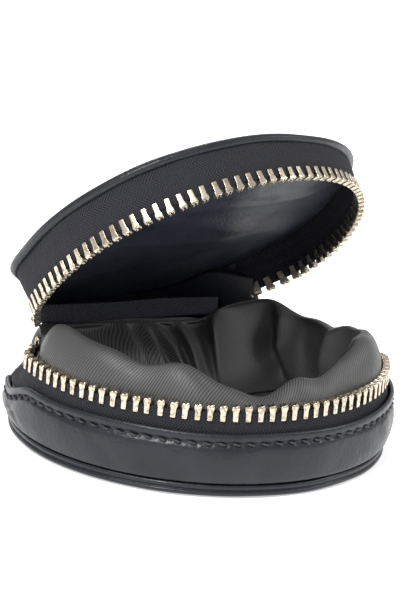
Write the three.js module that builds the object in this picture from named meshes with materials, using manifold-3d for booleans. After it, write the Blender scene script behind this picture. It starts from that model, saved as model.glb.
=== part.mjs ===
// Round coin purse: a leather base and a leather lid joined by a metal zip and a soft hinge at the back.
// Millimetres, +Z up. The origin is the centre of the flat underside. The hinge is at +Y.
import * as THREE from "three";
import { mergeVertices } from "three/addons/utils/BufferGeometryUtils.js";
import Module from "manifold-3d";

const wasm = await Module();
wasm.setup();

// Driving dimensions
const GAP = 0.3; // clearance between pieces that touch
const SEGMENTS = 60; // flats round a full circle
const BAND_R = 42.5; // widest outside radius of the base
const BAND_TOP = 14.3; // top of the leather side band
const BAND_BOTTOM = 3.3; // bottom of the leather side band
const LEATHER = 1.2; // leather thickness, doubled where its edge is turned
const RING_R = 40; // radius of the zip's centre line
const TEETH_Z = 20; // tips of the lower teeth
const TEETH_GAP = 1.4; // from the lower tips to the upper tips when the lid is down
const TOOTH_HEIGHT = 3.5;
const TOOTH_DEPTH = 1.7; // across the chain, from inside to outside
const TEETH_ROUND = 99; // teeth that would fill the whole circle
const TAPE = 0.6; // zip tape thickness
const LID_WALL_TOP = 32; // where the lid's tape meets its leather rim, lid down
const LID_TOP = 35; // highest point of the closed purse
const RIM_R = 42; // outside radius of the lid's rim
const LINING_R = 37.5; // outside radius of the lining bag
const LINING_TOP = 21; // mean height of the bag's top, which rises towards the front
const LINING_SLOPE = 0.15; // radians

// Zip: angles run clockwise from the middle of the hinge, seen from above
const LEFT_END = 298; // both rows of teeth end here
const LOWER_START = 48; // the lower row starts under the slider
const UPPER_START = 66; // the upper row starts just past the slider
const SLIDER_PARK = 52; // middle of the slider with the zip undone
const SLIDER_HALF = 6; // half the slider's length, in degrees of the ring
const HINGE_HALF = 52; // half the arc that the hinge leather covers
const BINDING_HALF = 27; // half the length of the tape across the hinge

// Lid hinge
const HINGE_Y = 20;
const HINGE_Z = TEETH_Z + TEETH_GAP / 2;
const LID_OPEN = 43; // opening angle of the lid as it stands

const UPPER_Z = TEETH_Z + TEETH_GAP; // tips of the upper teeth, lid down

// Materials
const leather = () => new THREE.MeshStandardMaterial({ color: 0x2a2b2f, roughness: 0.45 });
const twill = () => new THREE.MeshStandardMaterial({ color: 0x191a20, roughness: 0.85 });
const satin = () => new THREE.MeshStandardMaterial({ color: 0x5a5a5c, roughness: 0.5 });
const board = () => new THREE.MeshStandardMaterial({ color: 0xb8a888, roughness: 0.9 });
const foam = () => new THREE.MeshStandardMaterial({ color: 0x8c8c8c, roughness: 0.95 });
const metal = () => new THREE.MeshStandardMaterial({ color: 0xc9b896, roughness: 0.3, metalness: 1 });

// Solids
function solid(geometry) {
  geometry.deleteAttribute("normal");
  geometry.deleteAttribute("uv");
  const merged = mergeVertices(geometry, 1e-4);
  const vertProperties = new Float32Array(merged.attributes.position.array);
  const triVerts = new Uint32Array(merged.index.array);
  return new wasm.Manifold(new wasm.Mesh({ numProp: 3, vertProperties, triVerts }));
}

function mesh(name, body, material) {
  const { numProp, vertProperties, triVerts } = body.getMesh();
  const geometry = new THREE.BufferGeometry();
  const interleaved = new THREE.InterleavedBuffer(vertProperties, numProp);
  geometry.setAttribute("position", new THREE.InterleavedBufferAttribute(interleaved, 3, 0));
  geometry.setIndex(new THREE.BufferAttribute(triVerts, 1));
  const flat = geometry.toNonIndexed();
  flat.computeVertexNormals();
  const made = new THREE.Mesh(flat, material);
  made.name = name;
  return made;
}

// A ring or disc: a closed profile of [radius, height] points, anticlockwise, turned about Z.
function turned(profile, segments = SEGMENTS) {
  const points = profile.map(([r, z]) => new THREE.Vector2(r, z));
  const closed = profile[0][0] > 0 ? [...points, points[0]] : points;
  return solid(new THREE.LatheGeometry(closed, segments).rotateX(Math.PI / 2));
}

function disc(radius, low, high) {
  return turned([
    [0, low],
    [radius, low],
    [radius, high],
    [0, high],
  ]);
}

// A ring with an oval section.
function roundRing(radius, height, halfWidth, halfHeight, sides = 8) {
  const oval = new THREE.EllipseCurve(radius, height, halfWidth, halfHeight);
  return turned(
    oval
      .getPoints(sides)
      .slice(0, sides)
      .map((p) => [p.x, p.y]),
  );
}

// A point of the ring at an angle clockwise from +Y.
function onRing(radius, degrees) {
  const a = THREE.MathUtils.degToRad(degrees);
  return new THREE.Vector2(radius * Math.sin(a), radius * Math.cos(a));
}

// A pie slice from one angle clockwise to another, as tall as the purse, under half a turn.
function slice(from, to) {
  const reach = 2 * RIM_R;
  const steps = 8;
  const outline = new THREE.Shape([new THREE.Vector2(0, 0)]);
  for (let i = steps; i >= 0; i--) {
    const p = onRing(reach, from + ((to - from) * i) / steps);
    outline.lineTo(p.x, p.y);
  }
  const wedge = new THREE.ExtrudeGeometry(outline, { depth: 3 * LID_TOP, bevelEnabled: false });
  return solid(wedge.translate(0, 0, -LID_TOP));
}

// A block with its middle at the ring's radius, turned to face outwards at an angle.
function block(length, depth, height, radius, degrees, low) {
  const box = new THREE.BoxGeometry(length, depth, height).translate(0, radius, low + height / 2);
  return solid(box.rotateZ(-THREE.MathUtils.degToRad(degrees)));
}

// Base: bottom, side band and its padding
function bandProfile() {
  const outside = new THREE.SplineCurve([
    new THREE.Vector2(BAND_R - 0.9, BAND_BOTTOM),
    new THREE.Vector2(BAND_R - 0.2, BAND_BOTTOM + 2.4),
    new THREE.Vector2(BAND_R, BAND_BOTTOM + 5.5),
    new THREE.Vector2(BAND_R - 0.25, BAND_TOP - 2.2),
    new THREE.Vector2(BAND_R - 0.35, BAND_TOP - 0.6),
  ]);
  const inside = BAND_R - 1.2 - GAP / 2;
  return [
    [BAND_R - 0.9 - LEATHER, BAND_BOTTOM],
    ...outside.getPoints(6).map((p) => [p.x, p.y]),
    [BAND_R - 0.7, BAND_TOP],
    [inside + 0.1, BAND_TOP],
    [inside, BAND_TOP - 1],
    [inside, BAND_BOTTOM + 4],
  ];
}

// Everything above the dip in the back of the band, where the hinge leather goes.
function saddle(drop) {
  const halfWidth = BAND_R * Math.sin(THREE.MathUtils.degToRad(HINGE_HALF));
  const low = BAND_BOTTOM + 3.2 - drop;
  const rise = new THREE.QuadraticBezierCurve(
    new THREE.Vector2(-halfWidth - drop, BAND_TOP - drop),
    new THREE.Vector2(0, 2 * low - BAND_TOP),
    new THREE.Vector2(halfWidth + drop, BAND_TOP - drop),
  );
  const outline = new THREE.Shape(rise.getPoints(16));
  outline.lineTo(halfWidth + drop, 2 * BAND_TOP);
  outline.lineTo(-halfWidth - drop, 2 * BAND_TOP);
  const prism = new THREE.ExtrudeGeometry(outline, { depth: BAND_R, bevelEnabled: false });
  return solid(prism.rotateX(Math.PI / 2).translate(0, BAND_R + HINGE_Y, 0));
}

const bottomR = RING_R - 1.4; // radius of the leather disc underneath
const base = new THREE.Group();
base.add(mesh("base_panel", disc(bottomR, 0, LEATHER), leather()));
base.add(mesh("base_welt", roundRing(RING_R - 0.1, 1.6, 1.1, 1.3), leather()));
base.add(mesh("base_board", disc(bottomR - 0.3, 1.5, 2.5), board()));
base.add(mesh("side_band", turned(bandProfile()).subtract(saddle(0)), leather()));

const paddingOut = BAND_R - 1.9;
const padding = turned([
  [paddingOut - 1.9, BAND_BOTTOM + 0.9],
  [paddingOut - 0.6, BAND_BOTTOM + 0.9],
  [paddingOut, BAND_BOTTOM + 4],
  [paddingOut, BAND_TOP - 4],
  [paddingOut - 1.9, BAND_TOP - 4],
]);
base.add(mesh("band_padding", padding.subtract(saddle(1.5)), foam()));

const threadZ = BAND_TOP - 1.7;
const threadRing = roundRing(BAND_R + 0.02, threadZ, 0.18, 0.22, 4);
const thread = threadRing.subtract(slice(-HINGE_HALF - 1, HINGE_HALF + 1));
base.add(mesh("band_stitching", thread, leather()));

// Zip tapes: each leans in from the leather's edge to the teeth
function tape(leatherZ, teethZ) {
  const foot = RING_R + 0.45;
  const head = RING_R - TAPE / 2;
  const flip = teethZ > leatherZ;
  const section = [
    [foot, leatherZ],
    [foot + TAPE, leatherZ],
    [head + TAPE, teethZ],
    [head, teethZ],
  ];
  return turned(flip ? section : section.reverse());
}

const lowerTape = tape(BAND_TOP - 3.5, TEETH_Z - TOOTH_HEIGHT - GAP);
const lowerTapeStart = LOWER_START - 6;
base.add(mesh("lower_zip_tape", lowerTape.subtract(slice(LEFT_END + 2 - 360, lowerTapeStart)), twill()));

// A row of teeth on its cord, tips up. The legs stand on low, and the first tooth is at the first angle.
function chain(from, to, low) {
  const leg = 0.55;
  const head = 0.78;
  const neck = TOOTH_HEIGHT * 0.6;
  const crown = TOOTH_HEIGHT * 0.75;
  const outline = new THREE.Shape([
    new THREE.Vector2(-leg, 0),
    new THREE.Vector2(leg, 0),
    new THREE.Vector2(leg, neck),
    new THREE.Vector2(head, crown),
    new THREE.Vector2(head, TOOTH_HEIGHT),
    new THREE.Vector2(-head, TOOTH_HEIGHT),
    new THREE.Vector2(-head, crown),
    new THREE.Vector2(-leg, neck),
  ]);
  const pitch = 360 / TEETH_ROUND;
  const count = Math.floor((to - from) / pitch);
  const cord = [
    [RING_R - 0.45, low + 0.2],
    [RING_R + 0.45, low + 0.2],
    [RING_R + 0.45, low + 1.1],
    [RING_R - 0.45, low + 1.1],
  ];
  let row = turned(cord).subtract(slice(to - 360, from));
  for (let i = 0; i < count; i++) {
    const tooth = new THREE.ExtrudeGeometry(outline, { depth: TOOTH_DEPTH, bevelEnabled: false });
    tooth.rotateX(Math.PI / 2);
    tooth.translate(0, RING_R + TOOTH_DEPTH / 2, low);
    tooth.rotateZ(-THREE.MathUtils.degToRad(from + (i + 0.5) * pitch));
    row = row.add(solid(tooth));
  }
  return row;
}

base.add(mesh("lower_zip_teeth", chain(LOWER_START, LEFT_END, TEETH_Z - TOOTH_HEIGHT), metal()));

// Stops: small clamps at the ends of the rows
function stop(degrees, low) {
  return block(1.5, TOOTH_DEPTH, TOOTH_HEIGHT - 0.4, RING_R, degrees, low);
}

base.add(mesh("bottom_stop", stop(LEFT_END + 1.8, TEETH_Z - TOOTH_HEIGHT + 0.1), metal()));
base.add(mesh("lower_top_stop", stop(LOWER_START - 4.4, TEETH_Z - TOOTH_HEIGHT + 0.1), metal()));

// Lining bag, cut lower towards the hinge, and the hinge
const liningFloor = 2.8;
base.add(mesh("lining_floor", disc(LINING_R - 0.1, liningFloor, liningFloor + 0.7), satin()));
const liningWall = turned([
  [LINING_R - 1.2, liningFloor + 1],
  [LINING_R, liningFloor + 1],
  [LINING_R, LID_TOP],
  [LINING_R - 1.2, LID_TOP],
]);
const trim = new THREE.BoxGeometry(3 * RIM_R, 3 * RIM_R, 2 * LID_TOP).translate(0, 0, LID_TOP);
trim.rotateX(-LINING_SLOPE).translate(0, 0, LINING_TOP);
base.add(mesh("lining_wall", liningWall.subtract(solid(trim)), satin()));

const hingeLeather = turned(bandProfile().map(([r, z]) => [r, Math.min(z, BAND_TOP - 0.7)]));
base.add(mesh("hinge_panel", hingeLeather.intersect(saddle(-GAP)), leather()));
const binding = new THREE.BoxGeometry(2 * BINDING_HALF, 0.9, 3.8).translate(-3, HINGE_Y + 0.8, HINGE_Z + 1.6);
base.add(mesh("hinge_binding", solid(binding), twill()));

// Lid, drawn lid down and turned up about the hinge
const lid = new THREE.Group();
const lidRimZ = LID_WALL_TOP + GAP;
const panelR = RIM_R - 2.1;
lid.add(mesh("lid_welt", roundRing(RIM_R - 0.9, lidRimZ + 0.95, 0.9, 0.95), leather()));
lid.add(mesh("lid_lining", disc(RING_R - 0.9, LID_WALL_TOP - 0.6, LID_WALL_TOP + 0.1), leather()));
lid.add(mesh("lid_board", disc(panelR - 0.5, LID_WALL_TOP + 0.4, LID_WALL_TOP + 1.2), board()));
const crown = new THREE.QuadraticBezierCurve(
  new THREE.Vector2(panelR, LID_TOP - 1),
  new THREE.Vector2(panelR - 4, LID_TOP),
  new THREE.Vector2(0, LID_TOP),
);
const panelLow = LID_WALL_TOP + 1.5;
const panel = turned([[0, panelLow], [panelR, panelLow], ...crown.getPoints(5).map((p) => [p.x, p.y])]);
lid.add(mesh("lid_panel", panel, leather()));
const upperTape = tape(LID_WALL_TOP, UPPER_Z + TOOTH_HEIGHT + GAP);
lid.add(mesh("upper_zip_tape", upperTape.subtract(slice(LEFT_END + 2 - 360, UPPER_START - 4)), twill()));
const tipsUp = chain(360 - LEFT_END, 360 - UPPER_START, -UPPER_Z - TOOTH_HEIGHT);
lid.add(mesh("upper_zip_teeth", tipsUp.rotate([0, 180, 0]), metal()));
lid.add(mesh("upper_top_stop", stop(UPPER_START - 1.6, UPPER_Z + 0.3), metal()));
lid.position.set(0, -HINGE_Y, -HINGE_Z);
const lidTurn = new THREE.Group();
lidTurn.add(lid);
lidTurn.position.set(0, HINGE_Y, HINGE_Z);
lidTurn.rotation.x = -THREE.MathUtils.degToRad(LID_OPEN);

// Slider: an inner and an outer wing joined by a neck that runs between the rows of tips
const slider = new THREE.Group();
const wing = 0.8;
const inside = RING_R - TOOTH_DEPTH / 2 - 0.45;
const outside = RING_R + TOOTH_DEPTH / 2 + 0.45;
const wingLow = TEETH_Z - 2.9;
const wingHigh = HINGE_Z + 1.6;
const neck = 0.35;
const slideSection = [
  [inside - wing, wingLow],
  [inside, wingLow],
  [inside, HINGE_Z - neck],
  [outside, HINGE_Z - neck],
  [outside, wingLow],
  [outside + wing, wingLow],
  [outside + wing, wingHigh],
  [outside, wingHigh],
  [outside, HINGE_Z + neck],
  [inside, HINGE_Z + neck],
  [inside, wingHigh],
  [inside - wing, wingHigh],
];
const sliderRing = turned(slideSection);
const sliderBody = sliderRing.subtract(slice(SLIDER_HALF, 181)).subtract(slice(-181, -SLIDER_HALF));
slider.add(mesh("slider_body", sliderBody, metal()));

// Bridge on the outer wing, and the pull that hangs from its bar
const barR = 0.4;
const barOut = outside + wing + 1.6;
const barZ = TEETH_Z - 0.4;
const bridgeFoot = outside + wing + GAP;
const bridgeHalf = 2.9;
const bar = new THREE.BoxGeometry(2 * bridgeHalf, 2 * barR, 2 * barR).translate(0, barOut, barZ);
let bridge = solid(bar);
for (const side of [-1, 1]) {
  const depth = barOut + barR - bridgeFoot;
  const leg = new THREE.BoxGeometry(0.8, depth, 2.4).translate(side * bridgeHalf, bridgeFoot + depth / 2, barZ);
  bridge = bridge.add(solid(leg));
}
slider.add(mesh("slider_bridge", bridge, metal()));

const pullLength = 14;
const pullHalf = 2.8;
const pullThick = 1;
const knuckleHalf = 1.7; // half the length of the barrel that turns on the bar
const knuckle = turned(
  [
    [0.6, -knuckleHalf],
    [1.2, -knuckleHalf],
    [1.2, knuckleHalf],
    [0.6, knuckleHalf],
  ],
  16,
);
const pullOutline = new THREE.Shape();
pullOutline.moveTo(knuckleHalf, -0.9);
pullOutline.lineTo(-knuckleHalf, -0.9);
pullOutline.lineTo(-knuckleHalf, -3);
pullOutline.lineTo(-pullHalf, -4.4);
pullOutline.lineTo(-pullHalf, pullHalf - pullLength);
pullOutline.absarc(0, pullHalf - pullLength, pullHalf, Math.PI, 2 * Math.PI, false);
pullOutline.lineTo(pullHalf, -4.4);
pullOutline.lineTo(knuckleHalf, -3);
const sheet = new THREE.ExtrudeGeometry(pullOutline, { depth: pullThick, bevelEnabled: false, curveSegments: 8 });
sheet.rotateX(Math.PI / 2).translate(0, pullThick / 2, 0);
const pull = knuckle.rotate([0, 90, 0]).add(solid(sheet)).translate([0, barOut, barZ]);
slider.add(mesh("pull_tab", pull, metal()));
slider.rotation.z = -THREE.MathUtils.degToRad(SLIDER_PARK);

const coinPurse = new THREE.Group();
coinPurse.add(base, lidTurn, slider);

export default coinPurse;
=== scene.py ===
import math

import bmesh
import bpy
import numpy as np
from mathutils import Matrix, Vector


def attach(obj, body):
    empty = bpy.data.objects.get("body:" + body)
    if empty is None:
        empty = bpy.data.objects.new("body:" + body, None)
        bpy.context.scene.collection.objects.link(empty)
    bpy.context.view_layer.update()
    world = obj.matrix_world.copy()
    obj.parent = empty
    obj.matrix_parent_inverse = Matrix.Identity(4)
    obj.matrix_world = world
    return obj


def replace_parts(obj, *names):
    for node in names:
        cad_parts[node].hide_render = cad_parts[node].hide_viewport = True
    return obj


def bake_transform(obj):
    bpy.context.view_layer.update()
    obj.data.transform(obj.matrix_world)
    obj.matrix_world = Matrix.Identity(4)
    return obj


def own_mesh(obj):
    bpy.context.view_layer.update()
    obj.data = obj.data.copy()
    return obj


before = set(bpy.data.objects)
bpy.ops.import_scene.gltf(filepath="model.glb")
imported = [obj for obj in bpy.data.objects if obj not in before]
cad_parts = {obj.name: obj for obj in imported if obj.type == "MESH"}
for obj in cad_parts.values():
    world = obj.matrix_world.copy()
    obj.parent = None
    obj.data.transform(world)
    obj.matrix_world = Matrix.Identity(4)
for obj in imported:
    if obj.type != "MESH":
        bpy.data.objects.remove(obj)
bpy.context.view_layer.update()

MM = 0.001
scene = bpy.context.scene
scene.view_settings.view_transform = "Standard"

# Sizes shared by the pieces
RING_R = 40.0  # centre line of the zip
PITCH = 360 / 99  # degrees from tooth to tooth
TEETH_Z = 20.0  # tips of the lower teeth
UPPER_Z = 21.4  # tips of the upper teeth, lid down
TOOTH_H = 3.5
BAND_TOP = 14.3
BAND_BOTTOM = 3.3
HINGE_Y = 20.0
HINGE_Z = 20.7
LID_OPEN = 43.0  # degrees
LID_LEAN = 3.2  # how far the soft lid leans towards +X
LEFT_END = 298  # ring angle where both rows of teeth end, at the hinge's left
LOWER_START = 48  # ring angle of the lower row's first tooth
SLIDER_AT = 52  # ring angle of the parked slider's middle
TAPE_END = 300
LOWER_TAPE_START = 42
UPPER_TAPE_START = 57.5
LOWER_TEETH = 68
UPPER_TEETH = 65
HINGE_SLANT = 0.14  # how far the hinge's inner edge runs back for each millimetre along it


def smooth(t):
    t = np.clip(t, 0, 1)
    return t * t * (3 - 2 * t)


def bump(x, centre, width):
    return np.exp(-(((x - centre) / width) ** 2))


def polar(r, deg, z):
    a = np.radians(deg)
    return np.stack(np.broadcast_arrays(r * np.sin(a), r * np.cos(a), z), -1)


def angle_of(x, y):
    return np.degrees(np.arctan2(x, y)) % 360


def soft_lid(p):
    """The lid is soft: near the hinge it is drawn in at the zip's ends and leans to one side."""
    x, y, z = p[..., 0], p[..., 1], p[..., 2]
    a = angle_of(x, y)
    high = np.clip((z - UPPER_Z) / 11, 0, 1)
    left = 1 - 0.09 * smooth((y - 6) / 22) - 0.10 * smooth((y - 11) / 11) * high
    right = 1 - 0.15 * smooth((y - 12) / 11)
    x = np.where(x < 0, x * left, x * right) + LID_LEAN * smooth((y + 30) / 38)
    # The wall is pressed down at the front right
    pressed = 0.20 * bump(a, 158, 36) * smooth(np.hypot(p[..., 0], y) / 38)
    z = UPPER_Z + (z - UPPER_Z) * (1 - pressed)
    return np.stack([x, y, z], -1)


def lid_up(p):
    """From lid down to lid up."""
    p = soft_lid(np.asarray(p, float))
    t = math.radians(LID_OPEN)
    dy, dz = p[..., 1] - HINGE_Y, p[..., 2] - HINGE_Z
    y = HINGE_Y + dy * math.cos(t) + dz * math.sin(t)
    z = HINGE_Z - dy * math.sin(t) + dz * math.cos(t)
    return np.stack([p[..., 0], y, z], -1)


def side_sag(a):
    """The open base slumps a little beside the slider."""
    return smooth((a - 60) / 16) * smooth((128 - a) / 22)


def zip_end(p):
    """The base's zip is drawn in at the left end of the hinge, and sags beside the slider."""
    p = np.array(p, float)
    x, y, z = p[..., 0], p[..., 1], p[..., 2]
    p[..., 2] = z - 2.4 * side_sag(angle_of(x, y)) * smooth((z - 9) / 6)
    pull = 0.15 * smooth((y - 12) / 9) * smooth((z - 12) / 4)
    p[..., 0] = np.where(x < 0, x * (1 - pull), x)
    return p


# ---------------------------------------------------------------- camera, floor and light
CAMERA_TURN = (319, 17.13, 4.955)  # azimuth, elevation and roll in degrees
CAMERA_AWAY = 0.550  # metres
LENS = 151.95
AIM_UP, AIM_LEFT = 0.00966, 0.00064  # metres from the ring's centre to the middle of the picture


def set_camera():
    azimuth, elevation, roll = (math.radians(v) for v in CAMERA_TURN)
    level = math.cos(elevation)
    back = Vector((math.sin(azimuth) * level, -math.cos(azimuth) * level, math.sin(elevation)))
    right = Vector((math.cos(azimuth), math.sin(azimuth), 0))
    up = back.cross(right)
    right, up = right * math.cos(roll) + up * math.sin(roll), up * math.cos(roll) - right * math.sin(roll)
    centre = Vector((0, 0, TEETH_Z * MM))
    aim = centre + up * AIM_UP - right * AIM_LEFT
    data = bpy.data.cameras.new("camera")
    data.lens = LENS
    data.clip_start = 0.01
    camera = bpy.data.objects.new("camera", data)
    scene.collection.objects.link(camera)
    camera.location = centre + back * CAMERA_AWAY
    z = (camera.location - aim).normalized()
    x = up.cross(z).normalized()
    y = z.cross(x)
    matrix = camera.matrix_world.copy()
    for row in range(3):
        matrix[row][0], matrix[row][1], matrix[row][2] = x[row], y[row], z[row]
        matrix[row][3] = camera.location[row]
    camera.matrix_world = matrix
    scene.camera = camera


def area_light(name, at, size, power, colour=(1, 1, 1)):
    data = bpy.data.lights.new(name, "AREA")
    data.shape = "DISK"
    data.size = size
    data.energy = power
    data.color = colour
    lamp = bpy.data.objects.new(name, data)
    lamp.location = at
    lamp.rotation_euler = (Vector((0, 0, 0.03)) - Vector(at)).to_track_quat("-Z", "Y").to_euler()
    scene.collection.objects.link(lamp)


def set_light():
    world = bpy.data.worlds.new("studio")
    scene.world = world
    world.use_nodes = True
    background = world.node_tree.nodes["Background"]
    background.inputs["Color"].default_value = (1, 1, 1, 1)
    background.inputs["Strength"].default_value = 0.60
    area_light("key", (-0.55, -0.25, 0.62), 0.28, 5.5)
    area_light("fill", (0.55, -0.45, 0.50), 0.3, 2.0)
    area_light("back", (0.25, 0.6, 0.5), 0.4, 3)


def set_floor():
    mesh = bpy.data.meshes.new("floor")
    half = 3.0
    corners = [(-half, -half, 0), (half, -half, 0), (half, half, 0), (-half, half, 0)]
    mesh.from_pydata(corners, [], [(0, 1, 2, 3)])
    floor = bpy.data.objects.new("floor", mesh)
    scene.collection.objects.link(floor)
    made = bpy.data.materials.new("floor")
    made.use_nodes = True
    shader = made.node_tree.nodes["Principled BSDF"]
    shader.inputs["Base Color"].default_value = (0.96, 0.96, 0.96, 1)
    shader.inputs["Roughness"].default_value = 0.9
    shader.inputs["Emission Color"].default_value = (1, 1, 1, 1)
    shader.inputs["Emission Strength"].default_value = 0.5
    mesh.materials.append(made)


# ---------------------------------------------------------------- materials
class Shader:
    """A material with one Principled shader and helpers to add nodes to it."""

    def __init__(self, name, metallic=0.0):
        self.material = bpy.data.materials.new(name)
        self.material.use_nodes = True
        self.tree = self.material.node_tree
        self.bsdf = self.tree.nodes["Principled BSDF"]
        self.bsdf.inputs["Metallic"].default_value = metallic
        self.coords = self.tree.nodes.new("ShaderNodeTexCoord")
        self.normal = None

    def node(self, kind, inputs=None, **settings):
        made = self.tree.nodes.new(kind)
        for key, value in settings.items():
            setattr(made, key, value)
        for key, value in (inputs or {}).items():
            if isinstance(value, bpy.types.NodeSocket):
                self.tree.links.new(value, made.inputs[key])
            else:
                made.inputs[key].default_value = value
        return made

    def math(self, operation, a, b=0.0):
        return self.node("ShaderNodeMath", {0: a, 1: b}, operation=operation).outputs[0]

    def noise(self, size, detail=3.0, rough=0.5):
        """Noise between 0 and 1 with features of about size millimetres."""
        inputs = {"Vector": self.coords.outputs["Object"], "Scale": 1 / (size * MM)}
        inputs.update({"Detail": detail, "Roughness": rough})
        return self.node("ShaderNodeTexNoise", inputs).outputs[0]

    def cells(self, size, smoothness=0.6):
        inputs = {"Vector": self.coords.outputs["Object"], "Scale": 1 / (size * MM)}
        inputs["Smoothness"] = smoothness
        return self.node("ShaderNodeTexVoronoi", inputs, feature="SMOOTH_F1").outputs[0]

    def ramp(self, value, low, high, out_low=0.0, out_high=1.0):
        inputs = {0: value, 1: low, 2: high, 3: out_low, 4: out_high}
        return self.node("ShaderNodeMapRange", inputs, clamp=True).outputs[0]

    def mix(self, factor, a, b):
        made = self.node("ShaderNodeMix", {0: factor}, data_type="RGBA")
        for key, value in ((6, a), (7, b)):
            if isinstance(value, bpy.types.NodeSocket):
                self.tree.links.new(value, made.inputs[key])
            else:
                made.inputs[key].default_value = (*value, 1)
        return made.outputs[2]

    def bump(self, height, distance, strength=1.0):
        """Adds relief that is distance millimetres deep."""
        inputs = {"Height": height, "Distance": distance * MM, "Strength": strength}
        if self.normal is not None:
            inputs["Normal"] = self.normal
        self.normal = self.node("ShaderNodeBump", inputs).outputs[0]

    def done(self, colour, roughness):
        for key, value in (("Base Color", colour), ("Roughness", roughness)):
            if isinstance(value, bpy.types.NodeSocket):
                self.tree.links.new(value, self.bsdf.inputs[key])
            elif key == "Base Color":
                self.bsdf.inputs[key].default_value = (*value, 1)
            else:
                self.bsdf.inputs[key].default_value = value
        if self.normal is not None:
            self.tree.links.new(self.normal, self.bsdf.inputs["Normal"])
        return self.material

    def stripes(self, along, across, pitch, zigzag=0.0):
        """Slanted threads, from the UV map in millimetres. Each zigzag millimetres they turn back."""
        uv = self.node("ShaderNodeSeparateXYZ", {0: self.coords.outputs["UV"]}).outputs
        v = self.math("PINGPONG", uv[1], zigzag) if zigzag else uv[1]
        phase = self.math("ADD", self.math("MULTIPLY", uv[0], along), self.math("MULTIPLY", v, across))
        wave = self.math("SINE", self.math("MULTIPLY", phase, 2 * math.pi / pitch))
        return self.math("ADD", self.math("MULTIPLY", wave, 0.5), 0.5)


def leather(name, dark, light, rough=0.42, grain=0.7):
    s = Shader(name)
    patches = s.noise(9, 4)
    fine = s.noise(1.1, 3)
    s.bump(s.noise(5, 3), 0.28, 0.5)
    s.bump(s.cells(grain), 0.07, 0.7)
    s.bump(fine, 0.06, 0.6)
    colour = s.mix(s.ramp(patches, 0.3, 0.7), dark, light)
    s.bsdf.inputs["Specular IOR Level"].default_value = 0.4
    return s.done(colour, s.ramp(s.noise(2.5, 4), 0.25, 0.75, rough - 0.06, rough + 0.08))


def tape_twill(name, painted_light_gain=1.0):
    s = Shader(name)
    weave = s.stripes(1.0, 1.0, 0.72, zigzag=1.5)
    ribs = s.stripes(0.0, 1.0, 0.5)
    fuzz = s.noise(0.35, 3)
    s.bump(weave, 0.14, 1.0)
    s.bump(ribs, 0.04, 0.5)
    s.bump(fuzz, 0.07, 0.6)
    # The gain makes a brighter copy of the same tape: painted light for tape that lies in shade.
    dark, light = (0.005 * painted_light_gain, 0.005 * painted_light_gain, 0.0075 * painted_light_gain), (0.034 * painted_light_gain, 0.035 * painted_light_gain, 0.043 * painted_light_gain)
    # The colour follows the relief of the weave and the fuzz, darker in the low spots: painted shade in the
    # grooves between the threads.
    painted_weave_shade = s.mix(weave, dark, light)
    colour = s.mix(s.ramp(s.noise(4, 3), 0.3, 0.7), painted_weave_shade, s.mix(fuzz, dark, light))
    s.bsdf.inputs["Specular IOR Level"].default_value = 0.3
    return s.done(colour, 0.85)


def satin(name):
    s = Shader(name)
    weave = s.stripes(0.82, 0.57, 0.5)
    slub = s.noise(0.5, 3)
    s.bump(weave, 0.04, 0.8)
    s.bump(slub, 0.03, 0.5)
    s.bump(s.noise(6, 3), 0.25, 0.4)
    # The colour follows the relief of the weave, darker in the grooves: painted shade between the threads.
    painted_weave_shade = s.mix(weave, (0.016, 0.016, 0.018), (0.086, 0.085, 0.084))
    colour = s.mix(s.ramp(s.noise(12, 2), 0.3, 0.7, 0, 0.35), painted_weave_shade, (0.060, 0.059, 0.059))
    s.bsdf.inputs["Sheen Weight"].default_value = 0.06
    s.bsdf.inputs["Sheen Roughness"].default_value = 0.35
    return s.done(colour, s.ramp(slub, 0.3, 0.7, 0.42, 0.56))


def metal(name, bright, dull, rough=0.26):
    s = Shader(name, metallic=1.0)
    tarnish = s.ramp(s.noise(0.8, 4, 0.6), 0.42, 0.72)
    s.bump(s.noise(0.5, 3), 0.03, 0.35)
    s.bump(s.noise(0.12, 2), 0.01, 0.3)
    return s.done(s.mix(tarnish, bright, dull), s.ramp(tarnish, 0, 1, rough, rough + 0.2))


def plain(name, dark, light, size, rough, depth):
    s = Shader(name)
    grain = s.noise(size, 5, 0.6)
    s.bump(s.cells(size * 0.8), depth, 0.6)
    return s.done(s.mix(s.ramp(grain, 0.3, 0.7), dark, light), rough)


def thread_finish(name):
    s = Shader(name)
    twist = s.noise(0.25, 2)
    s.bump(twist, 0.04, 0.6)
    # The colour follows the relief of the twist, darker in the low spots: painted shade in the thread's
    # grooves.
    return s.done(s.mix(twist, (0.012, 0.012, 0.015), (0.045, 0.045, 0.055)), 0.6)


FINISH = {
    "leather": leather("purse_leather", (0.008, 0.009, 0.013), (0.015, 0.0165, 0.023), 0.36),
    "lid_leather": leather("lid_leather", (0.007, 0.008, 0.0115), (0.013, 0.0145, 0.020), 0.38, 0.6),
    "thread": thread_finish("thread"),
    "zip_tape": tape_twill("zip_tape"),
    "lining": satin("lining_satin"),
    "zip_metal": metal("zip_metal", (0.70, 0.62, 0.50), (0.24, 0.18, 0.11)),
    "slider_metal": metal("slider_metal", (0.78, 0.74, 0.66), (0.55, 0.48, 0.38), 0.3),
    "board": plain("fibre_board", (0.30, 0.24, 0.16), (0.46, 0.38, 0.27), 0.6, 0.9, 0.04),
    "foam": plain("foam", (0.20, 0.20, 0.20), (0.34, 0.34, 0.33), 0.4, 0.95, 0.1),
}


# ---------------------------------------------------------------- meshes
def finish_mesh(name, bm, slot):
    mesh = bpy.data.meshes.new(name)
    bmesh.ops.recalc_face_normals(bm, faces=bm.faces)
    bm.to_mesh(mesh)
    bm.free()
    mesh.shade_smooth()
    mesh.materials.append(FINISH[slot])
    made = bpy.data.objects.new(name, mesh)
    scene.collection.objects.link(made)
    return made


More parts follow.
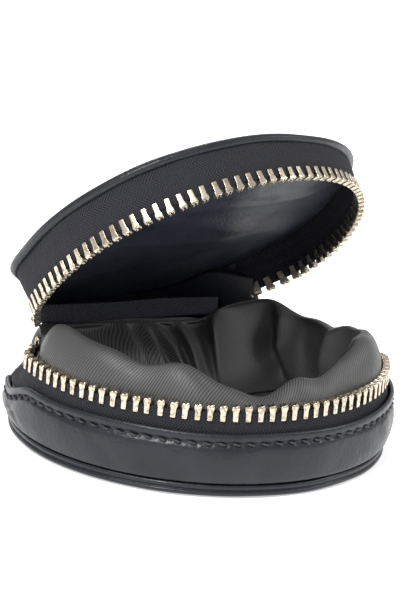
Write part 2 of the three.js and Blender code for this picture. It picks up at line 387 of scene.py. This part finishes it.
def along(points, axis, wrap):
    """Mean distance run along one side of a grid of points, for a UV map in millimetres."""
    step = np.linalg.norm(np.diff(points, axis=axis), axis=-1).mean(1 - axis)
    run = np.concatenate([[0], np.cumsum(step)])
    if wrap:
        last = np.linalg.norm(points.take(-1, axis) - points.take(0, axis), axis=-1).mean()
        run = np.append(run, run[-1] + last)
    return run


def grid(name, points, slot, wrap_u=False, wrap_v=False, caps=False):
    """A surface through a grid of points in millimetres, as one object in metres."""
    nu, nv = points.shape[:2]
    u, v = along(points, 0, wrap_u), along(points, 1, wrap_v)
    bm = bmesh.new()
    uv = bm.loops.layers.uv.new("UVMap")
    verts = [bm.verts.new(p) for p in points.reshape(-1, 3) * MM]
    for i in range(nu if wrap_u else nu - 1):
        for j in range(nv if wrap_v else nv - 1):
            corners = ((i, j), (i + 1, j), (i + 1, j + 1), (i, j + 1))
            face = bm.faces.new([verts[(a % nu) * nv + b % nv] for a, b in corners])
            for loop, (a, b) in zip(face.loops, corners):
                loop[uv].uv = (u[a], v[b])
    if caps:
        for i in (0, nu - 1):
            bm.faces.new([verts[i * nv + j] for j in range(nv)])
    return finish_mesh(name, bm, slot)


def spline(a, b, c, d, t):
    """A Catmull-Rom curve from b to c as t goes from 0 to 1."""
    return 0.5 * (2 * b + (c - a) * t + (2 * a - 5 * b + 4 * c - d) * t**2 + (3 * b - a - 3 * c + d) * t**3)


def closed_curve(points, count):
    """Points spread evenly along a smooth closed curve through a few given ones."""
    p = np.array(points, float)
    n = len(p)
    dense = []
    for k in range(n):
        a, b, c, d = (p[(k + m) % n] for m in (-1, 0, 1, 2))
        for t in np.linspace(0, 1, 12, endpoint=False):
            dense.append(spline(a, b, c, d, t))
    dense = np.array(dense + [dense[0]])
    run = np.concatenate([[0], np.cumsum(np.linalg.norm(np.diff(dense, axis=0), axis=1))])
    at = np.linspace(0, run[-1], count, endpoint=False)
    return np.stack([np.interp(at, run, dense[:, k]) for k in range(2)], -1)


def swept(name, section, slot, span=(0, 360), step=1.5, shape=None, place=None, count=28):
    """A section of (radius, height) points swept round the ring."""
    whole = span[1] - span[0] >= 360
    n = int(round((span[1] - span[0]) / step))
    angles = np.linspace(span[0], span[1], n if whole else n + 1, endpoint=not whole)
    curve = closed_curve(section, count)
    r, z = np.broadcast_arrays(curve[None, :, 0], np.zeros((len(angles), 1)) + curve[None, :, 1])
    a = angles[:, None] + np.zeros_like(z)
    if shape:
        r, z = shape(a, r.copy(), z.copy())
    points = polar(r, a, z)
    if place:
        points = place(points)
    return grid(name, points, slot, wrap_u=whole, wrap_v=True, caps=not whole)


def bevelled(name, bm, slot, width, segments=2, angle=30):
    bmesh.ops.recalc_face_normals(bm, faces=bm.faces)
    edges = [e for e in bm.edges if len(e.link_faces) == 2 and e.calc_face_angle() > math.radians(angle)]
    rounding = {"offset": width * MM, "segments": segments, "profile": 0.5}
    bmesh.ops.bevel(bm, geom=edges, affect="EDGES", clamp_overlap=True, **rounding)
    return finish_mesh(name, bm, slot)


def apply_modifiers(obj):
    depsgraph = bpy.context.evaluated_depsgraph_get()
    made = bpy.data.meshes.new_from_object(obj.evaluated_get(depsgraph))
    obj.modifiers.clear()
    obj.data = made


def thicken(obj, thickness):
    """Gives a thin surface its thickness in millimetres, half on each side."""
    made = obj.modifiers.new("thickness", "SOLIDIFY")
    made.thickness = thickness * MM
    made.offset = 0
    apply_modifiers(obj)


def arch(start, middle, end, t):
    """A curve from start to end that is drawn towards middle."""
    return (1 - t) ** 2 * start + 2 * t * (1 - t) * middle + t**2 * end


def soft_noise(a, z, seed, waves=6, most=14):
    """Smooth unevenness round the ring, between about -1 and 1."""
    rng = np.random.default_rng(seed)
    total = np.zeros(np.broadcast(a, z).shape)
    for _ in range(waves):
        k, lean, phase = rng.integers(2, most), rng.uniform(-0.35, 0.35), rng.uniform(0, 6.28)
        total += np.sin(np.radians(a) * k + z * lean + phase) / waves**0.5
    return total


def soft_patch(x, y, seed, waves=7, length=22):
    """Smooth unevenness over a flat piece, between about -1 and 1."""
    rng = np.random.default_rng(seed)
    total = np.zeros(np.broadcast(x, y).shape)
    for _ in range(waves):
        turn, size, phase = rng.uniform(0, 3.14), rng.uniform(0.6, 1.6) * length, rng.uniform(0, 6.28)
        total += np.sin((x * math.cos(turn) + y * math.sin(turn)) * 2 * math.pi / size + phase) / waves**0.5
    return total


def flat_xy(r, a):
    return r * np.sin(np.radians(a)), r * np.cos(np.radians(a))


# ---------------------------------------------------------------- base leather
SADDLE_HALF = 33.5  # half the width of the dip at the back of the band
STITCH_PITCH = 3.0
STITCH_Z = BAND_TOP - 2.15
STITCH_R = 42.1


def band_top(a):
    """Height of the band's top edge: a dip at the back leaves room for the hinge leather."""
    x = RING_R * 1.05 * np.sin(np.radians(a))
    dip = 6.5 + (BAND_TOP - 6.5) * (x / SADDLE_HALF) ** 2
    top = np.where(np.cos(np.radians(a)) > 0, np.minimum(dip, BAND_TOP), BAND_TOP)
    return top - 4.2 * smooth((a - 276) / 22) * smooth((338 - a) / 22) - 1.2 * side_sag(a)


def stitch_angles():
    count = int(math.radians(360 - 110) * STITCH_R / STITCH_PITCH)
    return np.linspace(55, 305, count)


def band_shape(a, r, z):
    top = band_top(a)
    keep = BAND_TOP - 3.2  # above this height the section keeps its size and only moves down
    low = z < keep
    squeezed = BAND_BOTTOM + (z - BAND_BOTTOM) * (top - 3.2 - BAND_BOTTOM) / (keep - BAND_BOTTOM)
    outside = r > 41.3
    level = np.clip((z - BAND_BOTTOM) / (BAND_TOP - BAND_BOTTOM), 0, 1)
    belly = np.sin(np.pi * np.clip(level * 1.15, 0, 1))
    r = r + outside * belly * (0.16 * soft_noise(a, z, 3) + 0.1 * soft_noise(a, z, 8, 5, 34))
    creases = bump(a - 1.6 * z, 276, 2.2) + bump(a + 1.9 * z, 309, 2.0) + bump(a - 1.2 * z, 238, 3)
    r = r - outside * 0.42 * creases * belly * bump(level, 0.3, 0.3)
    r = r - outside * 0.22 * bump(z, STITCH_Z, 0.55)
    for s in stitch_angles():
        near = np.abs((a - s + 180) % 360 - 180) < 3
        for side in (-1, 1):
            hole = bump(a[near], s + side * 1.3, 0.42) * bump(z[near], STITCH_Z + side * 0.22, 0.35)
            r[near] -= outside[near] * 0.28 * hole
    z = np.where(low, squeezed, z - BAND_TOP + top)
    z = z + 0.13 * soft_noise(a, 0 * z, 21, 5, 9) * level
    return r, z


BAND_SECTION = [
    (41.0, 3.35), (41.55, 3.5), (42.05, 4.6), (42.5, 6.6), (42.62, 8.8), (42.45, 10.6), (42.15, 11.7),
    (42.1, 12.2), (42.25, 12.8), (42.32, 13.4), (42.15, 14.05), (41.75, 14.3), (41.35, 14.1),
    (41.15, 13.4), (41.1, 12), (41.05, 9), (40.9, 6), (40.6, 4),
]


def make_base():
    band = swept("side_band_leather", BAND_SECTION, "leather", step=0.5, shape=band_shape, count=110)
    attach(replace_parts(band, "side_band"), "base")

    def welt_shape(a, r, z):
        return r + 0.08 * soft_noise(a, 0 * z, 5, 6, 20), z + 0.07 * soft_noise(a, 0 * z, 6, 6, 20)

    section = [
        (38.9, 0.5), (39.6, 0.28), (40.5, 0.32), (41.15, 0.75), (41.2, 1.3), (40.75, 1.62), (41.15, 1.95),
        (41.3, 2.5), (40.9, 2.95), (40.0, 3.0), (39.0, 2.8), (38.8, 1.6),
    ]
    welt = swept("base_welt_leather", section, "leather", step=1.5, shape=welt_shape, count=40)
    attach(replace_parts(welt, "base_welt"), "base")
    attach(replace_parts(disc("base_panel_leather", bottom_height, 38.55, "leather"), "base_panel"), "base")
    stitches()


def bottom_height(r, a, top):
    edge = smooth((r - 35.5) / 3.05)
    if top:
        return 1.2 - 0.25 * edge
    return 0.5 * edge**2 + 0.05 * (1 + 0.5 * soft_patch(*flat_xy(r, a), 12)) * (1 - edge)


def disc(name, height, radius, slot, rings=30, around=120, place=None):
    """A thin round piece: height(r, a, top) gives its two faces."""
    r = radius * np.sin(np.linspace(0.02, 1, rings) * math.pi / 2)
    a = np.linspace(0, 360, around, endpoint=False)
    rr, aa = np.meshgrid(np.concatenate([r, r[::-1]]), a)
    is_top = np.concatenate([np.zeros(rings, bool), np.ones(rings, bool)])
    z = np.where(is_top[None], height(rr, aa, True), height(rr, aa, False))
    points = polar(rr, aa, z)
    if place:
        points = place(points)
    nu, nv = points.shape[:2]
    bm = bmesh.new()
    uv = bm.loops.layers.uv.new("UVMap")
    flat = polar(rr, aa, 0 * rr)[..., :2].reshape(-1, 2)
    verts = [bm.verts.new(p) for p in points.reshape(-1, 3) * MM]
    place_of = {v: k for k, v in enumerate(verts)}
    for i in range(nu):
        for j in range(nv - 1):
            corners = ((i, j), (i + 1, j), (i + 1, j + 1), (i, j + 1))
            bm.faces.new([verts[(turn % nu) * nv + level] for turn, level in corners])
    for j in (0, nv - 1):
        bm.faces.new([verts[i * nv + j] for i in range(nu)])
    for face in bm.faces:
        for loop in face.loops:
            loop[uv].uv = flat[place_of[loop.vert]]
    return finish_mesh(name, bm, slot)


def stitches():
    """Short slanted stitches that dip into the leather at both ends."""
    bm = bmesh.new()
    around = 8
    for s in stitch_angles():
        rings = []
        for t in np.linspace(-1, 1, 9):
            fat = 0.27 * math.sqrt(max(1 - t**4, 0.08))
            out = STITCH_R - 0.12 + 0.3 * (1 - t * t)
            centre_a, centre_z = s + t * 1.22, band_top(s) + STITCH_Z - BAND_TOP + 0.22 * t
            ring = []
            for k in range(around):
                w = 2 * math.pi * k / around
                p = polar(out + fat * math.cos(w), centre_a, centre_z + fat * math.sin(w)) * MM
                ring.append(bm.verts.new(p))
            rings.append(ring)
        for one, two in zip(rings, rings[1:]):
            for k in range(around):
                bm.faces.new((one[k], one[(k + 1) % around], two[(k + 1) % around], two[k]))
        bm.faces.new(rings[0])
        bm.faces.new(rings[-1])
    made = finish_mesh("band_topstitch", bm, "thread")
    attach(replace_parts(made, "band_stitching"), "base")


# ---------------------------------------------------------------- zip
def tape_section(leather_z, teeth_z, bead_z):
    """A tape leaning in to the teeth, with the corded edge that the teeth grip."""
    up = 1 if bead_z > leather_z else -1
    middle = (leather_z + teeth_z) / 2
    return [
        (40.5, leather_z), (41.05, leather_z), (40.85, middle + 0.5 * up), (40.35, teeth_z),
        (40.33, bead_z - 0.9 * up), (40.42, bead_z - 0.35 * up), (40.3, bead_z + 0.05 * up),
        (40, bead_z + 0.16 * up),
        (39.7, bead_z + 0.05 * up), (39.58, bead_z - 0.35 * up), (39.67, bead_z - 0.9 * up), (39.8, teeth_z),
        (40.3, middle),
    ]


def tape_shape(a, r, z):
    return r + 0.1 * soft_noise(a, 0.5 * z, 31, 6, 22), z


# One tooth as a small lattice: columns along the zip, layers from inside to outside, levels from legs to tip
TOOTH_LEVELS = ((0.0, 0.48), (0.25, 0.55), (1.8, 0.57), (2.1, 0.62), (2.5, 0.77), (3.0, 0.79), (3.5, 0.52))
TOOTH_COLUMNS = (-1, -0.4, 0.0, 0.4, 1)
TOOTH_LAYERS = (-0.86, -0.4, 0.4, 0.86)
TOOTH_CROWN = (0.0, -0.16, -0.5, -0.22, -0.28)  # the tip has a dimple and one taller horn


def tooth():
    bm = bmesh.new()
    columns, layers, levels = len(TOOTH_COLUMNS), len(TOOTH_LAYERS), len(TOOTH_LEVELS)

    def filled(i, j, k):
        inside = 0 <= i < columns - 1 and 0 <= j < layers - 1 and 0 <= k < levels - 1
        return inside and not (j == 1 and k < 3)

    verts = {}

    def vert(i, j, k):
        if (i, j, k) not in verts:
            z, half = TOOTH_LEVELS[k]
            y = TOOTH_LAYERS[j] * (0.8 if k == levels - 1 else 1)
            if k == levels - 1:
                z += TOOTH_CROWN[i] * (1.0 if j in (1, 2) else 0.75)
            verts[i, j, k] = bm.verts.new(Vector((TOOTH_COLUMNS[i] * half, y, z)) * MM)
        return verts[i, j, k]

    sides = (
        ((1, 0, 0), ((1, 0, 0), (1, 1, 0), (1, 1, 1), (1, 0, 1))),
        ((-1, 0, 0), ((0, 0, 0), (0, 0, 1), (0, 1, 1), (0, 1, 0))),
        ((0, 1, 0), ((0, 1, 0), (0, 1, 1), (1, 1, 1), (1, 1, 0))),
        ((0, -1, 0), ((0, 0, 0), (1, 0, 0), (1, 0, 1), (0, 0, 1))),
        ((0, 0, 1), ((0, 0, 1), (1, 0, 1), (1, 1, 1), (0, 1, 1))),
        ((0, 0, -1), ((0, 0, 0), (0, 1, 0), (1, 1, 0), (1, 0, 0))),
    )
    for i in range(columns - 1):
        for j in range(layers - 1):
            for k in range(levels - 1):
                if not filled(i, j, k):
                    continue
                for (di, dj, dk), corners in sides:
                    if not filled(i + di, j + dj, k + dk):
                        bm.faces.new([vert(i + a, j + b, k + c) for a, b, c in corners])
    bmesh.ops.recalc_face_normals(bm, faces=bm.faces)
    edges = [e for e in bm.edges if len(e.link_faces) == 2 and e.calc_face_angle() > math.radians(24)]
    rounding = {"offset": 0.1 * MM, "segments": 2, "profile": 0.6}
    bmesh.ops.bevel(bm, geom=edges, affect="EDGES", clamp_overlap=True, **rounding)
    points = np.array([v.co for v in bm.verts]) / MM
    index = {v: k for k, v in enumerate(bm.verts)}
    faces = [[index[v] for v in f.verts] for f in bm.faces]
    bm.free()
    return points, faces


def teeth(name, angles, low, flip, place):
    points, faces = tooth()
    bm = bmesh.new()
    rng = np.random.default_rng(7)
    for a in angles:
        p = points.copy()
        if flip:
            p[:, 2] = TOOTH_H - p[:, 2]
            p[:, 0] = -p[:, 0]
        tilt = rng.normal(0, 0.03)
        p[:, 0] += tilt * (p[:, 2] - 1.7)
        t = math.radians(a + rng.normal(0, 0.12))
        y = RING_R + p[:, 1]
        c, s = math.cos(t), math.sin(t)
        world = np.stack([p[:, 0] * c + y * s, -p[:, 0] * s + y * c, p[:, 2] + low], -1)
        verts = [bm.verts.new(q) for q in place(world) * MM]
        for f in faces:
            bm.faces.new([verts[k] for k in f])
    return finish_mesh(name, bm, "zip_metal")


def clamp(name, a, low, node, body, place):
    """A small bent clamp round the tape at the end of a row."""
    section = [
        (-0.75, 0), (-0.85, 0.6), (-0.85, 2.4), (-0.6, 3.0), (0, 3.15), (0.6, 3.0), (0.85, 2.4), (0.85, 0.6),
        (0.75, 0), (0.45, 0.1), (0.42, 2.0), (0, 2.3), (-0.42, 2.0), (-0.45, 0.1),
    ]
    curve = closed_curve(section, 36)
    if low > TEETH_Z:
        curve[:, 1] = 3.15 - curve[:, 1]
    t = np.array([-0.75, -0.72, -0.6, -0.3, 0, 0.3, 0.6, 0.72, 0.75])
    shrink = np.array([0.8, 0.92, 1, 1, 1, 1, 1, 0.92, 0.8])
    middle = curve.mean(0)
    rings = []
    for k, s in zip(t, shrink):
        r, z = (middle + (curve - middle) * s).T
        rings.append(polar(RING_R + r, a + math.degrees(k / RING_R), low + z))
    points = np.stack(rings)
    made = grid(name, place(points), "zip_metal", wrap_v=True, caps=True)
    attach(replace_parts(made, node), body)


def make_zip():
    span = (LOWER_TAPE_START, TAPE_END)
    section = tape_section(10.8, 16.0, 18.2)
    lower = swept("lower_tape_twill", section, "zip_tape", span, 1.5, tape_shape, zip_end, 40)
    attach(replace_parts(lower, "lower_zip_tape"), "base")
    span = (UPPER_TAPE_START, TAPE_END)
    section = tape_section(32.0, 25.4, 23.2)
    upper = swept("upper_tape_twill", section, "zip_tape", span, 1.5, tape_shape, lid_up, 40)
    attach(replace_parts(upper, "upper_zip_tape"), "lid")
    row = [LOWER_START + (i + 0.5) * PITCH for i in range(LOWER_TEETH)]
    made = teeth("lower_teeth", row, TEETH_Z - TOOTH_H, False, zip_end)
    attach(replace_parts(made, "lower_zip_teeth"), "base")
    row = [LEFT_END - (i + 0.5) * PITCH for i in range(UPPER_TEETH)]
    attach(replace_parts(teeth("upper_teeth", row, UPPER_Z, True, lid_up), "upper_zip_teeth"), "lid")
    clamp("bottom_stop_clamp", 299.8, 16.7, "bottom_stop", "base", zip_end)
    clamp("lower_top_stop_clamp", 43.6, 16.7, "lower_top_stop", "base", zip_end)
    clamp("upper_top_stop_clamp", 60.2, 21.7, "upper_top_stop", "lid", lid_up)


# ---------------------------------------------------------------- lid
def lid_top_height(r, a, top):
    if top:
        dome = 34.4 - 0.8 * (r / 39.6) ** 4 - 0.45 * smooth((r - 38) / 1.8)
        return dome + 0.14 * soft_patch(*flat_xy(r, a), 40)
    return 32.95 + 0 * r


# Creases of the lid's inner face: (place along Y, slant, half width, depth)
CREASES = (
    (-18, 0.15, 2.0, 0.35), (-11, -0.1, 1.4, 0.28), (-4, 0.22, 2.4, 0.3), (4, 0.05, 1.6, 0.25),
    (12, -0.2, 2.5, 0.3),
)


def facing_height(r, a, top):
    """The inner face of the lid, a little slack, with faint creases running side to side."""
    if top:
        return 31.9 + 0 * r
    x, y = flat_xy(r, a)
    fade = smooth((39.3 - r) / 8)
    sag = 0.9 * (1 - (r / 39.3) ** 2)
    creases = 0.0
    for centre, lean, width, depth in CREASES:
        creases = creases + depth * bump(y - lean * x + 1.2 * np.sin(x / 7 + centre), centre, width)
    return 31.3 - sag - fade * (creases + 0.22 * soft_patch(x, y, 44))


def make_lid():
    cover = disc("lid_cover", lid_top_height, 39.7, "lid_leather", 34, 140, lid_up)
    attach(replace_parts(cover, "lid_panel"), "lid")

    def rim_shape(a, r, z):
        return r + 0.1 * soft_noise(a, 0 * z, 51, 6, 18), z + 0.08 * soft_noise(a, 0 * z, 52, 6, 18)

    section = [
        (40.2, 31.8), (41.0, 31.5), (41.75, 31.7), (42.15, 32.3), (42.05, 33.0), (41.6, 33.5), (40.9, 33.65),
        (40.35, 33.5), (40.0, 33.0), (40.0, 32.3),
    ]
    rim = swept("lid_rim", section, "lid_leather", step=1.0, shape=rim_shape, place=lid_up, count=36)
    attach(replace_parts(rim, "lid_welt"), "lid")

    def board_height(r, _, top):
        return (32.8 if top else 32.1) + 0 * r

    board = disc("lid_stiffener", board_height, 38.6, "board", 12, 90, lid_up)
    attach(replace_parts(board, "lid_board"), "lid")
    facing = disc("lid_facing", facing_height, 39.3, "lid_leather", 60, 200, lid_up)
    # A brighter copy of the lid leather for the lid's inner face: painted light on the shaded inside of the
    # lid.
    inside = leather("lid_inside_painted_light", (0.020, 0.0225, 0.033), (0.037, 0.041, 0.057), 0.42, 0.6)
    facing.data.materials[0] = inside
    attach(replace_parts(facing, "lid_lining"), "lid")


# ---------------------------------------------------------------- slider and pull
def wing(bm, radius, outwards):
    """One curved plate of the slider with rounded ends."""
    around = 40
    half_a, low, high = 5.8, 17.2, 22.2
    rows = []
    for depth, shrink in ((0.0, 0.86), (0.12, 0.97), (0.35, 1.0), (0.6, 0.97), (0.8, 0.84)):
        row = []
        for k in range(around):
            w = 2 * math.pi * k / around
            c, s = math.cos(w), math.sin(w)
            u = math.copysign(abs(c) ** 0.7, c) * half_a * shrink
            v = math.copysign(abs(s) ** 0.7, s) * (high - low) / 2 * shrink
            r = radius + (depth if outwards else -depth)
            row.append(bm.verts.new(polar(r, SLIDER_AT + u, (high + low) / 2 + v) * MM))
        rows.append(row)
    for one, two in zip(rows, rows[1:]):
        for k in range(around):
            bm.faces.new((one[k], one[(k + 1) % around], two[(k + 1) % around], two[k]))
    bm.faces.new(rows[0])
    bm.faces.new(rows[-1])


def make_slider():
    bm = bmesh.new()
    wing(bm, 41.3, True)
    wing(bm, 38.7, False)
    neck = []
    for r in (38.5, 41.5):
        for turn, z in ((-4.5, 20.4), (4.5, 20.4), (4.5, 21.0), (-4.5, 21.0)):
            neck.append(bm.verts.new(polar(r, SLIDER_AT + turn, z) * MM))
    for f in ((0, 1, 2, 3), (4, 5, 6, 7), (0, 1, 5, 4), (1, 2, 6, 5), (2, 3, 7, 6), (3, 0, 4, 7)):
        bm.faces.new([neck[k] for k in f])
    body = finish_mesh("slider_shell", bm, "slider_metal")
    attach(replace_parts(body, "slider_body"), "slider")
    rounded = (("slider_loop", "slider_bridge", 0.14, "slider"), ("pull_plate", "pull_tab", 0.22, "pull"))
    for name, node, width, body_name in rounded:
        bm = bmesh.new()
        bm.from_mesh(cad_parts[node].data)
        bmesh.ops.remove_doubles(bm, verts=bm.verts, dist=1e-6)
        bmesh.ops.dissolve_limit(bm, angle_limit=math.radians(2), verts=bm.verts, edges=bm.edges)
        made = bevelled(name, bm, "slider_metal", width, 3)
        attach(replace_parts(made, node), body_name)


# ---------------------------------------------------------------- lining
# Puffs of the bag's crest: (ring angle, rise in millimetres, half width in degrees)
PUFFS = (
    (276, 9.0, 22), (250, 5.0, 14), (227, 7.3, 13), (209, 2.0, 9), (187, 4.6, 9), (170, 4.0, 11),
    (150, 7.6, 15), (126, 6.4, 18), (104, 2.4, 10), (86, 1.6, 7), (65, 3.8, 12), (48, 2.4, 11),
)
CREST_LOW = 18.4
# Folds of its inner face: (ring angle, slant in degrees per millimetre, half width, depth)
FOLDS = (
    (14, 1.5, 5, 4.0), (36, 2.0, 4, 4.6), (56, 1.4, 4, 5.0), (80, 0.8, 3.6, 4.4), (104, 0.4, 5, 3.4),
    (130, -0.5, 6, 2.6), (165, 0.3, 7, 1.8), (212, -0.6, 6, 2.4), (256, 0.5, 7, 2.2), (300, -0.8, 5, 2.6),
    (326, -1.6, 6, 4.2), (348, -0.9, 5, 3.4),
)


def crest_height(a):
    return CREST_LOW + sum(rise * bump((a - at + 180) % 360 - 180, 0, half) for at, rise, half in PUFFS)


def bag_radius(a, r, chord):
    """Radius of the bag's outline: round, and straight along the hinge."""
    c = np.cos(np.radians(a)) + HINGE_SLANT * np.sin(np.radians(a))
    line = np.where(c > 0.05, chord / np.maximum(c, 0.05), 1e3)
    k = 1.5
    return -k * np.log(np.exp(-r / k) + np.exp(-np.minimum(line, 200) / k))


def lining_points(nu=420, nv=110):
    a = np.linspace(0, 360, nu, endpoint=False)[:, None]
    off = np.abs((a + 180) % 360 - 180)
    # 1 along the hinge, 0 round the front
    hinge = np.where(a < 180, smooth((54 - off) / 26), smooth((68 - off) / 12))
    rear = smooth((100 - off) / 60)  # the rear wall leans in towards the middle
    x = 30 * np.sin(np.radians(a))
    line_z = hinge_line(x)[1]
    top = crest_height(a) * (1 - hinge) + (line_z - 0.6) * hinge
    seam_z = 17.2 * (1 - hinge) + line_z * hinge
    lean = 1 + 0.25 * soft_noise(a, 0 * a, 60, 5, 9)
    # key points of the section: seam, swell, shoulder, crest, lip, wall, foot
    keys = [
        (bag_radius(a, 38.9, 21.2), seam_z),
        (bag_radius(a, 38.6, 20.9), seam_z + (top - seam_z) * 0.42),
        (bag_radius(a, 37.6 - 0.5 * lean, 20.4), seam_z + (top - seam_z) * 0.82),
        (bag_radius(a, 35.6 - 0.6 * lean, 19.6), top),
        (bag_radius(a, 33.6 - 0.6 * lean, 18.6), top - 1.2 - 0.08 * (top - 18)),
        (bag_radius(a, 32.0 - 0.8 * lean, 15.0) - 2.0 * rear, 14.5 + 0 * a),
        (bag_radius(a, 31.5, 11.0) - 3.5 * rear, 8.5 + 0 * a),
        (bag_radius(a, 32.0, 9.0) - 4.0 * rear, 4.1 + 0 * a),
    ]
    knots = np.concatenate([np.broadcast_to(np.stack(k, -1), (nu, 1, 2)) for k in keys], 1)
    t = np.linspace(0, len(keys) - 1, nv)
    k = np.minimum(t.astype(int), len(keys) - 2)
    f = (t - k)[None, :, None]
    p0, p1, p2, p3 = (knots[:, np.clip(k + m, 0, len(keys) - 1)] for m in (-1, 0, 1, 2))
    rz = spline(p0, p1, p2, p3, f)
    r, z = rz[..., 0], rz[..., 1]
    v = t[None, :] / (len(keys) - 1)
    inner = smooth((v - 0.42) / 0.2) * smooth((1.02 - v) / 0.3)
    folds = 0.0
    for at, slope, width, depth in FOLDS:
        d = (a + slope * (z - 12) - at + 180) % 360 - 180
        folds = folds + depth * (0.6 * np.exp(-np.abs(d / width) ** 1.3) + 0.4 * bump(d, 0, width * 1.4))
    r = r - 1.15 * inner * folds + inner * 2.0
    outer = smooth(v / 0.1) * smooth((0.5 - v) / 0.2)
    r = r + outer * 0.35 * soft_noise(a, 0.15 * z, 61, 6, 12)
    p = polar(r, a, z)
    drawn = 1 - 0.13 * smooth((p[..., 1] - 6) / 14) * smooth((p[..., 2] - 9) / 6)
    p[..., 0] = np.where(p[..., 0] < 0, p[..., 0] * drawn, p[..., 0])  # drawn in with the zip's left end
    return p


def make_lining():
    points = lining_points()
    bag = grid("lining_bag", points, "lining", wrap_u=True)
    thicken(bag, 0.25)
    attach(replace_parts(bag, "lining_wall"), "base")
    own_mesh(bag)  # the bag gets a mesh of its own

    def height(r, a, top):
        z = 3.75 + 0.25 * soft_noise(a, 0.2 * r, 70, 6, 5) * smooth((36 - r) / 8)
        return z if top else z - 0.3

    def dshape(p):
        a = angle_of(p[..., 0], p[..., 1])
        r = np.hypot(p[..., 0], p[..., 1])
        limit = bag_radius(a, 35.0, 24.0)
        return polar(r * limit / 36.0, a, p[..., 2])

    floor = disc("lining_base", height, 36.0, "lining", 30, 120, dshape)
    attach(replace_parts(floor, "lining_floor"), "base")


# ---------------------------------------------------------------- hinge
def hinge_line(x):
    """Where the tape across the hinge stands on the lining: y and z for x."""
    return 21.3 - HINGE_SLANT * x, 19.9 - 0.045 * x


def hinge_leather():
    """The soft leather outside the hinge, from the band to the lid's rim."""
    left_end, base_right, lid_right = 57, 44, 66  # ring angles of its corners, from the middle of the hinge
    u = np.linspace(-1, 1, 121)[:, None]
    base_a = np.where(u < 0, u * left_end, u * base_right)
    lid_a = np.where(u < 0, u * left_end, u * lid_right)
    right = smooth((u - 0.72) / 0.28)
    left = smooth((-u - 0.35) / 0.35)
    low_r = 41.6 * (1 - right) + 38.6 * right - 1.4 * left
    low = polar(low_r, base_a, band_top(base_a % 360) - 1.6 + 1.9 * right)
    high = lid_up(polar(40.7 + 0.9 * right, lid_a, 31.7 + 0 * u))
    away = polar(1 + 0 * u, (base_a + lid_a) / 2, 0 * u)
    outwards = 5.5 * (1 - right) * (1 - left) - 3.4 * right - 9.0 * left
    middle = (low + high) / 2 + away * outwards[..., None] + np.array([0, 0, -0.6])
    t = np.linspace(0, 1, 44)[None, :, None]
    points = arch(low, middle, high, t)
    ripple = soft_noise(base_a * 3, 6 * t[..., 0], 80, 6, 9)[..., None]
    points = points + away * ripple * 0.35 * np.sin(np.pi * t)
    panel = grid("hinge_leather", points, "leather")
    thicken(panel, 0.9)
    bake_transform(panel)
    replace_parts(panel, "hinge_panel")


def hinge_tape():
    """The straight strip of tape that stands along the inside of the hinge."""
    x = np.linspace(-26, 19, 90)[:, None]
    s = np.linspace(0, 2 * math.pi, 36, endpoint=False)[None, :]
    y0, z0 = hinge_line(x)
    half = 2.15
    lean = 0.3 * np.sin(x / 7 + 1)
    y = y0 + 0.45 * np.cos(s) + lean + 0.15 * np.sin(x / 3.3) * np.sin(s)
    z = z0 + half + np.sign(np.sin(s)) * half * np.abs(np.sin(s)) ** 0.35 + 0.18 * np.sin(x / 8)
    points = np.stack(np.broadcast_arrays(x, y, z), -1)
    strip = grid("hinge_tape", points, "zip_tape", wrap_v=True, caps=True)
    # A 2.4 times brighter copy of the zip tape: painted light on the shaded strip inside the hinge.
    strip.data.materials[0] = tape_twill("binding_tape_painted_light", 2.4)
    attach(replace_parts(strip, "hinge_binding"), "base")


def hinge_facing():
    """The black leather that runs from behind the strip up to the lid's inner face."""
    x = np.linspace(-27.5, 33, 70)[:, None]
    t = np.linspace(0, 1, 24)[None, :, None]
    y0, z0 = hinge_line(x)
    start = np.stack(np.broadcast_arrays(x, y0 + 0.7 + 0 * x, z0 + 1.0), -1)
    end_y, end_z = 30.0 - 11.0 * smooth((x - 14) / 19), 31.0 - 5.0 * smooth((x - 24) / 9)
    end = lid_up(np.stack(np.broadcast_arrays(x * 1.03, end_y, end_z), -1))
    dip = (start + end) / 2 + np.array([0, 0.5, -3.5])
    facing = grid("hinge_facing", arch(start, dip, end, t), "lid_leather")
    thicken(facing, 0.5)
    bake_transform(facing)


def finish_cad():
    """The board and foam inside the base keep their CAD shapes."""
    for node, slot in (("base_board", "board"), ("band_padding", "foam")):
        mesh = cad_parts[node].data
        mesh.materials.clear()
        mesh.materials.append(FINISH[slot])


set_camera()
set_light()
set_floor()
make_base()
make_zip()
make_lid()
make_slider()
make_lining()
hinge_leather()
hinge_tape()
hinge_facing()
finish_cad()
